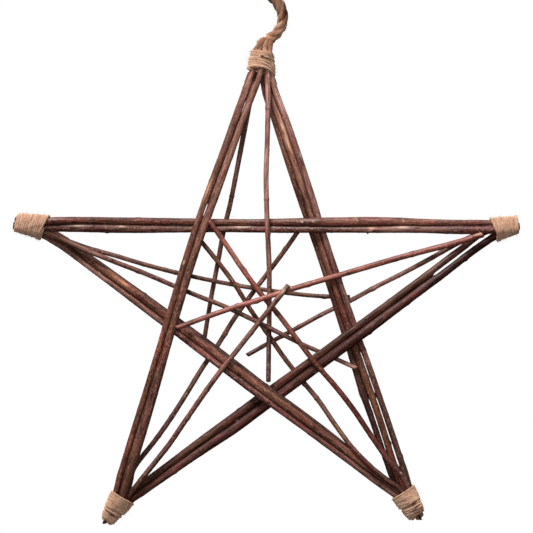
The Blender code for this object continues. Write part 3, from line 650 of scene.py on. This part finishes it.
# Marks seen on the rods: the kind, the place across and up from the middle of the star, and half the
# length and width. Nodes and pale stretches go all round. Bumps and chips have a dark place after them. Some
# dark marks are painted shade, and some peels and chips are painted light and highlights.
MARKS = {
    "upper_right_middle": [
        # The peels near the top are light streaks, partly painted highlight; the last peel paints light onto
        # the rod's end where the binding shades it
        ("peel", 24, 196, 12, 1.1), ("peel", 28, 183, 12, 1), ("peel", 31, 174, 8, 0.8),
        ("chip", 22.3, 197, 4, 0.9), ("chip", 28.3, 179.5, 8, 0.9), ("chip", 40, 163, 4, 0.8),
        ("dark", 46, 118, 9, 1.2), ("peel", 171, -233, 3, 1.4),
    ],
    "upper_right_outer": [
        # The dark mark low on this rod is painted shade
        ("chip", 42.5, 166, 3.5, 0.9), ("dark", 142, -144, 17, 2.2), ("bump", 162, 57, 1.6, 1.5),
        # This peel paints light onto the rod's end where the binding shades it
        ("peel", 176, -231, 3.5, 1.8),
    ],
    "upper_right_inner": [("chip", 42, 126, 3.5, 0.8), ("bump", 107, -97, 3, 1.8)],
    "crossbar_upper": [
        ("chip", 57, 93.5, 1.2, 0.8), ("chip", 45, 93, 1.2, 0.8), ("bump", 44, 92, 2, 1.8),
        ("bump", 104, 97, 2.4, 1.8), ("chip", 104, 94.5, 1.2, 0.9),
        ("chip", 155, 94, 1, 0.9), ("pale", 118, 95, 62, 8),
    ],
    "crossbar_lower": [
        # The chips along the top of this rod are partly painted highlight
        ("chip", -203, 88.7, 8, 0.6), ("chip", -155, 88, 4, 0.8), ("chip", -21, 87.6, 9, 0.8),
        ("chip", 155, 87, 7, 1.2), ("bump", 121, 83, 2.4, 2), ("pale", 150, 85, 34, 8),
        ("bump", 251, 94, 2.2, 1.6), ("peel", 121, 86, 3.6, 1.2), ("spur", 116, 80, 0.8, 0.8),
    ],
    "lower_left_upper": [("bump", 141, -14, 2.2, 1.8), ("dark", 105, -30, 5, 1.6)],
    "lower_left_lower": [("bump", 167, -5, 2.2, 1.8), ("bump", 107, -31, 2.4, 2), ("chip", 60, -72, 1.4, 1)],
    "lower_right_upper": [
        # The two dark marks are painted shade in the gap between this rod and the lower one
        ("peel", -152, 26, 6, 1.2), ("bump", 56, -131, 2.2, 1.6), ("dark", -218, 72, 9, 1.6),
        ("dark", -204, 60, 12, 1.8),
    ],
    # The peel paints a highlight along the top of this rod near the left binding
    "lower_right_lower": [("bump", 6, -104, 2, 1.6), ("peel", -211, 63, 16, 0.9)],
    "upper_left_inner": [("bump", -96, 10, 2.4, 2), ("dark", -121, -82, 7, 1.6)],
    "upper_left_outer": [
        # The three dark marks near the top binding are painted shade in the gap beside the inner rod
        ("peel", -60, 128, 9, 1), ("chip", -86, 48, 2, 0.9), ("dark", -10.4, 249, 8, 1.3),
        ("dark", -13.8, 238, 8, 1.3), ("dark", -17.3, 228, 6, 1.1),
    ],
    "twig_top_long": [("node", 6, 219, 1.1, 2), ("node", 5.5, 118, 1, 2), ("bump", 5.5, -7.7, 1.6, 1.6)],
    "twig_lower_right_outer": [
        ("chip", 153, -183, 1.1, 0.9), ("chip", 158, -188, 1.1, 0.9), ("chip", 162, -193, 1.1, 0.9),
    ],
    "twig_left_lower": [
        # The first peel paints light onto this twig where the crossbar shades it
        ("peel", -226, 76.5, 16, 1.4), ("bump", -165, 51, 1.6, 1.4), ("node", 10, -24, 1.1, 2),
    ],
    "twig_left_upper": [("dark", 93, 10, 4, 6), ("node", -96, 38, 1.1, 2), ("pale", -5, 33, 48, 8)],
    "twig_right_upper": [("chip", 237, 79.5, 5, 0.6), ("node", 165, 57, 1.2, 2), ("bump", 20, 14, 1.6, 1.4)],
    "twig_right_lower": [("chip", 67, 30, 1, 0.9), ("node", 120, 18, 1.1, 2)],
    "twig_lower_left_inner": [
        ("dark", 31, 22, 2, 1.6), ("spur", 27, 22, 1.4, 1.6), ("chip", 24, 18, 5, 1.6),
        ("node", -60, -91, 1.1, 2),
    ],
    "twig_lower_right_inner": [("node", 60, -101, 1.1, 2)],
    "twig_lower_left_outer": [("node", -60, -58, 1.1, 2)],
    "twig_top_short": [("node", -33, 122, 1.1, 2)],
}


def marked(name, line, radius, beside, at, turn):
    """How strong each kind of mark is at each point of one rod."""
    shape = np.broadcast(at, turn).shape
    found = {kind: np.zeros(shape) for kind in "bump dark peel chip spur pale".split()}
    for kind, across, up, long, wide in MARKS.get(name, []):
        spot = np.array([across, up])
        nearest = np.linalg.norm(line[:, [0, 2]] - spot, axis=1).argmin()
        aside = (spot - line[nearest, [0, 2]]) @ beside[nearest, [0, 2]] / radius[nearest, 0]
        off_turn = np.abs(turn_from(turn, math.asin(min(max(aside, -0.95), 0.95)))) * radius
        away = at - at[nearest]
        if kind == "pale":
            seen = [("pale", 0.5 * mound(away, long))]
        elif kind == "node":
            seen = [("bump", mound(away, long) * 0.6), ("dark", 0.5 * mound(away - long, long))]
        else:
            seen = [(kind, np.clip(1.3 * mound(away, long, off_turn, wide), 0.0, 1.0))]
            if kind in ("bump", "chip"):
                seen.append(("dark", 0.7 * mound(away - 1.2 * long, long, off_turn, wide)))
        for what, share in seen:
            found[what] = np.maximum(found[what], share)
    return found


# The bark's relief, for ripple
SWELLING = (0.022, (60, 200), (1, 3))
RIDGES = (0.045, (14, 70), (5, 11), 9)
ROUGHNESS = (0.03, (4, 12), (2, 7), 9)
PEELING = (0.5, (40, 160), (0, 2))
FINE_PEELING = (0.25, (5, 25), (1, 6))

# Knots: the share of big ones, the heights, half widths and darkness of both kinds, and their places
BIG_SHARE = 0.3
BIG_KNOTS = ((0.5, 0.9), (1.2, 1.8), 0.85)
SMALL_KNOTS = ((0.15, 0.4), (0.8, 1.2), 0.6)
FIRST_KNOT = (8, 25)
KNOTS_APART = (14, 34)
KNOTS_TURN = math.radians(144)
NO_KNOT = 6  # the length without knots at the rod's end


def with_knots(size, rng, at, turn, radius):
    """The bark's reach with its knots, and how dark it is under each."""
    knot = np.zeros_like(size)
    position = rng.uniform(*FIRST_KNOT)
    angle = rng.uniform(0, FULL_TURN)
    while position < at[-1, 0] - NO_KNOT:
        heights, widths, darkness = BIG_KNOTS if rng.random() < BIG_SHARE else SMALL_KNOTS
        height, wide = rng.uniform(*heights), rng.uniform(*widths)
        off_turn = np.abs(turn_from(turn, angle)) * radius
        away = at - position
        size = size + height * mound(away, 1.6 * wide, off_turn, wide) + 0.12 * mound(away, 1.5)
        knot = np.maximum(knot, darkness * mound(away + 1.8 * wide, wide, off_turn, 1.6 * wide))
        angle += KNOTS_TURN + rng.normal(0, 0.3)
        position += rng.uniform(*KNOTS_APART)
    return size, knot


CUT_RINGS = (0.93, 0.6, 0.25)  # rings of points on a cut end, by their share of its radius
SLANTS = (0.15, 0.5)  # of the cuts
SLANT_REACH = 9.0  # how far from the end a slanted cut shows


def with_cut_ends(rows, middles):
    """A rod's rows of points or grain with those of its cut ends, and then the middles of the two ends."""
    first, last = [[middle + share * (rows[end] - middle) for share in CUT_RINGS]
                   for end, middle in zip((0, -1), middles)]
    return np.concatenate([*first[::-1], *rows, *last, middles])


def add_bark_rod(name, bark, tones, sides, seed, slot):
    """A rod with its bark: knots, ridges, peeled streaks and cut ends, with painted light and shade along it
    and in the seams beside other rods.
    """
    rng = np.random.default_rng(seed)
    line, radius = FINE[name][:, :3], FINE[name][:, 3:]
    along, front, beside = front_frames(line)
    at = lengths(line)[:, None]
    turn = ring_turns(sides)[None]
    size = radius * (1 + ripple(rng, at, turn, *SWELLING))
    size += ripple(rng, at, turn, *RIDGES)
    size += ripple(rng, at, turn, *ROUGHNESS)
    size, knot = with_knots(size, rng, at, turn, radius)
    marks = marked(name, line, radius, beside, at, turn)
    size = size + 0.7 * marks["bump"] + 1.6 * marks["spur"] - 0.15 * marks["peel"]
    # Knots and dark marks, some of the marks painted shade in gaps between rods
    knot = np.maximum(knot * (1.0 - marks["peel"]), 0.9 * marks["dark"])
    outward = outwards(turn, front[:, None], beside[:, None])
    swell, seam = leaning(name, line, radius, outward)
    size = size + swell
    # Painted shade in the seams between rods that lie side by side
    knot = np.maximum(knot, 0.85 * seam)
    points = line[:, None] + size[..., None] * outward
    for away, sign in ((at, 1.0), (at[-1] - at, -1.0)):
        slant = rng.uniform(*SLANTS)
        toward = rng.uniform(0, FULL_TURN)
        shift = slant * size * np.cos(turn - toward) * np.clip(1 - away / SLANT_REACH, 0.0, 1.0)
        points = points + sign * shift[..., None] * along[:, None]
    peel = ripple(rng, at, turn, *PEELING) + ripple(rng, at, turn, *FINE_PEELING)
    # Peeled streaks, and peel marks, some of which paint light
    peel = np.maximum(np.clip((peel - 1.25) * 3.0, 0.0, 0.55), 0.68 * marks["peel"])
    # How light the rod is along its length: partly its own tone, partly painted light and shade
    tone = np.exp(np.interp(at / at[-1], (0.0, 0.5, 1.0), np.log(tones))) * np.ones_like(size)
    bloom = np.maximum(np.clip((tone - 1.0) / 2.0, 0.0, MOST_BLOOM), marks["pale"])
    grain = grain_round(at, radius, turn)
    ring_ends = len(CUT_RINGS) * sides

    def with_ends(values, at_ends=0.0):
        return np.pad(values.reshape(-1), (ring_ends, ring_ends + 2), constant_values=at_ends)

    points = with_cut_ends(points, points[[0, -1]].mean(axis=1))
    faces = closed_faces(len(line) + 2 * len(CUT_RINGS), sides)
    material = bark_material("bark_" + name, bark, seed * 3.7)
    add_piece("bark_" + name, points, faces, material, slot, name, cut=with_ends(np.zeros_like(size), 1.0),
              grain=with_cut_ends(grain, grain[[0, -1]].mean(axis=1)), knot=with_ends(knot),
              chip=with_ends(0.5 * marks["chip"]), peel=with_ends(peel), bloom=with_ends(bloom),
              shade=with_ends(np.minimum(tone, 1.0), 1.0))


BARK_STEP = 1.5
# The rods and the twigs, with the number of sides of their solids and of their bark, a seed and a slot
GROUPS = ((RODS, 8, 28, 100, "bark"), (TWIGS, 7, 22, 200, "twig_bark"))
FINE = {name: resample(rod_rings(name, cad_sides), BARK_STEP)
        for group, cad_sides, *_ in GROUPS for name in group}
# This twig is a little longer than its solid
tip = FINE["twig_left_upper"][-1] + (FINE["twig_left_upper"][-1] - FINE["twig_left_upper"][-3]) * 0.8
FINE["twig_left_upper"] = np.vstack([FINE["twig_left_upper"], tip])
for group, _, sides, seed, slot in GROUPS:
    for number, (name, (bark, tones)) in enumerate(group.items()):
        add_bark_rod(name, bark, tones, sides, seed + number, slot)


# Strips of bark that have come loose beside the top binding: the place of each end, and half the thickness
LOOSE_STRIPS = [
    ((-14.6, -2.5, 258), (-19.2, -2, 246.6), 1.1), ((-17.4, -2, 250), (-21.9, -1.5, 240), 0.75),
    ((13.6, -1, 252.5), (17.2, -0.5, 243.6), 0.8),
]


def add_loose_bark():
    rng = np.random.default_rng(51)
    parts = []
    for first, last, thick in LOOSE_STRIPS:
        way = np.subtract(last, first)
        parts.append(hair(first, unit(way), np.linalg.norm(way), rng, radius=thick, curl=0.08, steps=6))
    points, faces, grain, _ = joined(parts)
    material = bark_material("loose_bark_strips", "loose", 5.0)
    add_piece("loose_bark_strips", points, faces, material, "bark", grain=grain, shade=np.ones(len(points)),
              bloom=np.full(len(points), 0.2))


add_loose_bark()


# Twine bindings: the middle of the mouth across and up, the way that it faces, the way to the tip and the
# length. Lean is how much nearer the tip the twine runs at the front, shift how much farther to the left
# side it stands and widen how much farther out at both sides, each at the mouth and at the tip.
POINTS = {
    "top": {"mouth": (-0.8, 257), "mouth_angle": 73, "angle": 84, "length": 26, "lean": (5.8, 0.8),
            "shift": (1.2, 2.3), "widen": (-0.4, 1.6)},
    "left": {"mouth": (-239.5, 87), "mouth_angle": 159, "angle": 170, "length": 33},
    "right": {"mouth": (255.5, 84.5), "mouth_angle": 13, "angle": 9, "length": 28, "lean": (2, 0)},
    "lower_left": {"mouth": (-154, -211), "mouth_angle": 237, "angle": 236, "length": 30},
    "lower_right": {"mouth": (156, -205.5), "mouth_angle": 303, "angle": 298, "length": 29},
}
TWINE_RADIUS = 1.6
TWINE_LAY = 17.0
TWINE_SIDES = 9
TWINE_STEP = 0.7
STEPS_A_TURN = 60
PLIES = 2
PLY_DEPTH = 0.02
PLY_SHADE = 0.4
TWINE_TAPER = 4.0
TWINE_HAIR_LENGTHS = (1.5, 6.0)
OUTSIDE = 80.0  # a distance from the axis that is clear of the binding
NO_SURFACE = 12.0  # the reach where the binding's solid has no surface


def facing(degrees):
    turn = math.radians(degrees)
    outward = np.array([math.cos(turn), 0.0, math.sin(turn)])
    return outward, np.array([-outward[2], 0.0, outward[0]])


class Sleeve:
    """The CAD binding's outer surface, by share of its length and turn round its axis."""

    def __init__(self, point):
        self.spec = POINTS[point]
        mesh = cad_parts["twine_binding_" + point].data
        corners = [Vector((v.co.x / MM, v.co.y / MM, v.co.z / MM + HOOK_HEIGHT)) for v in mesh.vertices]
        self.tree = BVHTree.FromPolygons(corners, [tuple(p.vertices) for p in mesh.polygons])
        depths = np.array([c.y for c in corners])
        self.depth = (depths.min() + depths.max()) / 2

    def between(self, key, share):
        """A measure that goes evenly from its value at the mouth to its value at the tip."""
        at_mouth, at_tip = self.spec.get(key, (0.0, 0.0))
        return at_mouth + min(max(share, 0.0), 1.0) * (at_tip - at_mouth)

    def lean(self, distance, turn):
        """How much nearer the tip the twine runs at the front than at the sides."""
        to_front = math.cos(turn)
        lean = self.between("lean", distance / self.spec["length"])
        return lean * (to_front if to_front > 0 else 0.2 * to_front)

    def cut(self, share):
        """The middle of the cut across the binding, and its outward and leftward directions."""
        spec = self.spec
        outward, _ = facing(spec["angle"])
        mouth = np.array([spec["mouth"][0], self.depth, spec["mouth"][1]])
        turned = spec["mouth_angle"] + share * (spec["angle"] - spec["mouth_angle"])
        return mouth + share * spec["length"] * outward, *facing(turned)

    def skin(self, distance, turn):
        """The middle of a cut, and the direction and reach to the outer surface. Turn 0 faces the front."""
        share = distance / self.spec["length"]
        middle, _, leftward = self.cut(share)
        inside, _, _ = self.cut(min(max(share, 0.03), 0.97))
        away = math.cos(turn) * FRONT + math.sin(turn) * leftward
        hit = self.tree.ray_cast(Vector(inside + OUTSIDE * away), Vector(-away))[0]
        reach = (np.array(hit) - inside) @ away if hit is not None else NO_SURFACE
        reach += self.between("shift", share) * math.sin(turn)
        reach += self.between("widen", share) * abs(math.sin(turn))
        return middle, away, reach


def wound(sleeve, start, end, turns, rng, raised=0.0, tilt=0.0, wobble=0.35, first=0.0, shrink=None,
          hole=None, radius=TWINE_RADIUS):
    """The line of a length of twine wound round the sleeve.

    A hole has its distance, its turn from the front, how far round it reaches and half its width.
    """
    line = []
    steps = int(turns * STEPS_A_TURN)
    phases = rng.uniform(0, FULL_TURN, 4)
    for k in range(steps + 1):
        turn = first + FULL_TURN * k / STEPS_A_TURN
        distance = start + (end - start) * k / steps
        distance += tilt * math.sin(turn) + sleeve.lean(distance, turn)
        distance += wobble * (math.sin(0.83 * turn + phases[0]) + 0.6 * math.sin(2.3 * turn + phases[1])) / 2
        if hole:
            round_it = turn_from(turn, hole[1]) / hole[2]
            aside = distance - hole[0]
            distance += math.copysign(hole[3], aside) * math.exp(-round_it**2 - abs(aside) / 3.0)
        middle, away, reach = sleeve.skin(distance, turn)
        reach = reach - radius + raised + 0.15 * math.sin(1.7 * turn + phases[2])
        if shrink:
            reach *= shrink(distance)
        line.append(middle + away * reach)
    return resample(line, TWINE_STEP)


CORE_ROWS = 20
CORE_SIDES = 48
CORE_DEPTH = 1.5  # below the binding's surface
# The core's painted shade, for where it shows between the turns
CORE_VALLEY = 0.45


def binding_core(sleeve, lays):
    """The earlier turns beneath the outer ones: a closed skin inside the binding's surface, darkened all over
    with painted shade.
    """
    rows = []
    turns = ring_turns(CORE_SIDES)
    shrinks = [details["shrink"] for *_, details in lays if "shrink" in details]
    for distance in np.linspace(0.9, max(end for _, end, _, _ in lays) - 0.2, CORE_ROWS):
        least = min([shrink(distance) for shrink in shrinks], default=1.0)
        row = []
        for turn in turns:
            middle, away, reach = sleeve.skin(distance + sleeve.lean(distance, turn), turn)
            row.append(middle + away * (reach - CORE_DEPTH) * least)
        rows.append(row)
    rows = np.array(rows)
    points = np.concatenate([rows.reshape(-1, 3), rows[[0, -1]].mean(axis=1)])
    grain = np.zeros((len(points), 3))
    grain[:-2, 0] = np.tile(turns * 10.0, CORE_ROWS)
    grain[:-2, 1] = np.repeat(np.arange(CORE_ROWS) * 1.5, CORE_SIDES)
    return points, closed_faces(CORE_ROWS, CORE_SIDES), grain, np.full(len(points), CORE_VALLEY)


def shaded_hollows(points, hollows):
    """How much painted shade the twine has in hollows at its front: place, half length, half width and slope.
    """
    dark = np.zeros(len(points))
    for across, up, long, wide, degrees in hollows:
        slope, normal = facing(degrees)
        away = points - [across, 0.0, up]
        share = mound(away @ slope, long, away @ normal, wide)
        dark = np.maximum(dark, np.clip(1.5 * share, 0.0, 1.0) * (points[:, 1] < 0.0))
    return dark


def add_binding(point, lays, hairs, seed, hollows=()):
    """The binding of one star point. Each length of twine has its start, end, turns and other details."""
    rng = np.random.default_rng(seed)
    sleeve = Sleeve(point)
    axis, _ = facing(sleeve.spec["angle"])
    parts, skin, normals = [binding_core(sleeve, lays)], [], []
    for start, end, turns, details in lays:
        line = wound(sleeve, start, end, turns, rng, **details)
        radius = details.get("radius", TWINE_RADIUS)
        parts.append(yarn_tube(line, radius, TWINE_SIDES, TWINE_LAY, PLIES, PLY_DEPTH, PLY_SHADE, rng,
                               taper=TWINE_TAPER))
        away = line - line.mean(axis=0)
        away = unit(away - np.outer(away @ axis, axis))
        skin.append(line + away * TWINE_RADIUS)
        normals.append(away)
    parts += hairs_on(skin, normals, hairs, TWINE_HAIR_LENGTHS, rng)
    add_jute("wound_twine_" + point, parts, "jute_twine", lambda points: shaded_hollows(points, hollows),
             "twine_binding_" + point)


def rounded(start, length, least):
    """How the turns draw in past a distance, to close the end of a binding."""
    return lambda distance: 1.0 - (1.0 - least) * min(max((distance - start) / length, 0.0), 1.0) ** 2


add_binding("top", [
    (0.8, 21.4, 11, dict(wobble=0.8, radius=1.45, hole=(17, -0.15, 0.35, 1.2))),
    (0.4, 1, 1.1, dict(raised=0.45, first=1, radius=1.2)),
    (4, 12, 2.6, dict(raised=0.5, tilt=1.8, wobble=0.6, first=2, radius=1.2)),
    (12.5, 17, 1.3, dict(raised=0.5, tilt=-1.6, wobble=0.6, first=3, radius=1.1)),
    (18, 20.6, 1.3, dict(raised=0.4, tilt=-1, first=4, radius=1.2)),
    (18.6, 21.4, 2.3, dict(raised=0.3, tilt=1.8, wobble=0.7, first=1, radius=1.3)),
], 300, 21, [(0.4, 274.3, 1.9, 1.3, -10), (4.2, 272.8, 3.6, 0.7, -16)])
add_binding("left", [
    (-0.4, 31.6, 14.5, dict(radius=1.35)),
    (-0.6, 3, 1.4, dict(raised=0.6, tilt=2.4, first=1, radius=1.1)),
], 200, 22)
add_binding("right", [
    (-1, 26.6, 12.5, dict(radius=1.35)),
    (-1.4, 2, 1.6, dict(raised=0.6, tilt=-2, first=3, radius=1.1)),
    (3, 7, 1.6, dict(raised=0.5, tilt=2, first=3, radius=1.1)),
], 200, 23)
add_binding("lower_left", [
    (-0.1, 14.6, 9, dict(wobble=0.15)),
    (-0.8, -0.6, 1.1, dict(raised=0.5, wobble=0.1, radius=1.1)),
    (17.4, 19.2, 1.8, dict(wobble=0.15, radius=1.2)),
    (21, 30, 5.2, dict(wobble=0.2, shrink=rounded(24, 7, 0.66))),
], 200, 24, [(-164, -229.4, 4.6, 1, -27)])
add_binding("lower_right", [
    (-0.3, 13.2, 8.5, dict(raised=0.4, wobble=0.15)),
    (-1.2, -1, 1.1, dict(raised=0.8, wobble=0.1, radius=1.1)),
    (14.8, 28.4, 5, dict(raised=0.2, wobble=0.2, shrink=rounded(23, 7, 0.74),
                       hole=(13.9, -0.25, 0.45, 0.8), radius=1.7)),
], 200, 25, [(166.4, -216, 4, 1.5, 42), (169.5, -219.5, 4.6, 0.7, 37), (166.5, -223, 4.6, 0.7, 35)])


# The rope's unlaid ends: the radius of each strand, and its line of places across, in depth and up from the
# middle of the star. Each also has a twin at the back.
NECK_STRANDS = [
    (2.75, [(11.8, -9.8, 298), (10.6, -10.2, 293), (9.3, -10, 288), (8.9, -9.2, 283), (8, -8, 276)]),
    (2.85, [(7.6, -6.6, 298.5), (5.6, -9.6, 293), (4, -10.8, 288), (3.2, -10.2, 283), (2.8, -9, 276)]),
    (3, [(9.4, -9.6, 295.6), (4, -10, 293.6), (-0.2, -10.8, 292.3), (-2.3, -11.2, 289.4),
         (-4.7, -8.4, 285.4), (-7.2, -6, 282), (-7.6, -4, 279), (-7.6, -3, 275)]),
    (2.7, [(3, -7.6, 295), (1, -8.8, 290.5), (-0.8, -9.2, 286), (-2.2, -8.8, 281.5), (-3, -7, 276)]),
]
# The strands folded over the rod ends: across, highest point, half the depth, radius
BRIDGES = [
    (-3.2, 290.6, 7, 2.9), (1, 291.8, 7.6, 2.9), (5.2, 291.2, 7.4, 2.9), (8.6, 289.8, 6.8, 2.6),
]
NECK_FOOT = 276.0  # where the strands end inside the binding
NECK_MIDDLE = (2.4, 0.0, 283.0)
NECK_YARN_LAY = 15.0
NECK_HAIRS = 160


def tucked(points):
    """Painted shade in the hollow below the folded strand at the left of the neck."""
    left = rising(points[:, 0], 2.0, -1.0)
    low = rising(points[:, 2], 288.0, 286.0) * rising(points[:, 1], -6.0, -8.0)
    return 0.3 * left * low


def add_neck():
    rng = np.random.default_rng(31)
    routes = []
    for radius, route in NECK_STRANDS:
        routes.append((radius, route))
        routes.append((radius, [(a + rng.uniform(-0.5, 0.5), -d, u) for a, d, u in route]))
    for across, height, deep, radius in BRIDGES:
        side = [(across, deep, NECK_FOOT), (across, deep, 284.0), (across, 0.85 * deep, height - 2.2),
                (across, 0.45 * deep, height - 0.4)]
        routes.append((radius, [(a, -d, u) for a, d, u in side] + [(across, 0.0, height)] + side[::-1]))
    parts, skin, normals = [], [], []
    for radius, route in routes:
        line = resample(route, ROPE_STEP)
        parts.append(yarn_tube(line, radius, STRAND_SIDES, NECK_YARN_LAY, YARNS, 0.06, 0.5, rng))
        normals.append(unit(line - NECK_MIDDLE))
        skin.append(line + normals[-1] * radius)
    parts += hairs_on(skin, normals, NECK_HAIRS, HAIR_LENGTHS, rng)
    add_jute("folded_rope_ends", parts, "jute_rope", tucked, "rope_ends")


add_neck()


# Floor and light. The floor ends behind the star, where the white world takes its place.
FLOOR_DROP = 0.20  # below the star's lowest point
FLOOR_CORNERS = ((-40, -40), (40, -40), (40, 3), (-40, 3))
corners = [(x, y, cad_low.z - FLOOR_DROP) for x, y in FLOOR_CORNERS]
floor = add_mesh("floor", corners, [(0, 1, 2, 3)], smooth=False)
material, tree, shader = node_tree("floor")
set_inputs(tree, shader, {
    "Base Color": (0.92, 0.92, 0.92), "Roughness": 0.9, "Emission Color": WHITE, "Emission Strength": 0.5,
})
floor.data.materials.append(material)
floor.visible_diffuse = False
floor.visible_glossy = False

# The world lights from above and is seen as plain white
world = bpy.data.worlds.new("studio")
bpy.context.scene.world = world
world.use_nodes = True
tree = world.node_tree
tree.nodes.clear()
direction = add_node(tree, "ShaderNodeTexCoord", {}, "Generated")
up = add_node(tree, "ShaderNodeSeparateXYZ", {0: direction}, "Z")
height = add_node(tree, "ShaderNodeMapRange", {0: up, 1: -1.0, 2: 1.0})
sky = ramp(tree, height, [(0.3, (0.01, 0.01, 0.01)), (0.5, (0.08, 0.08, 0.08)), (0.9, (0.6, 0.59, 0.6))])
lit = add_node(tree, "ShaderNodeBackground", {"Color": sky, "Strength": 0.9})
seen = add_node(tree, "ShaderNodeBackground", {"Color": WHITE, "Strength": 1.0})
is_seen = add_node(tree, "ShaderNodeLightPath", {}, "Is Camera Ray")
both = add_node(tree, "ShaderNodeMixShader", {0: is_seen, 1: lit, 2: seen})
set_inputs(tree, tree.nodes.new("ShaderNodeOutputWorld"), {"Surface": both})


def add_softbox(name, location, size, power, colour=WHITE, mirrored=True):
    lamp = bpy.data.lights.new(name, "AREA")
    lamp.shape = "RECTANGLE"
    lamp.size, lamp.size_y = size
    lamp.energy = power
    lamp.color = colour
    made = add_object(name, lamp)
    made.location = location
    made.rotation_euler = (Vector(aim) - Vector(location)).to_track_quat("-Z", "Y").to_euler()
    made.visible_camera = False
    made.visible_glossy = mirrored


add_softbox("key", (-1.3, -2.8, 3.65), (1.9, 1.5), 340.0, (1.0, 0.97, 0.95))
add_softbox("fill", (-0.3, -3.4, -0.3), (1.8, 1.4), 52.0, mirrored=False)
add_softbox("back", (0.9, 3.6, 0.9), (2.2, 2.2), 90.0, mirrored=False)
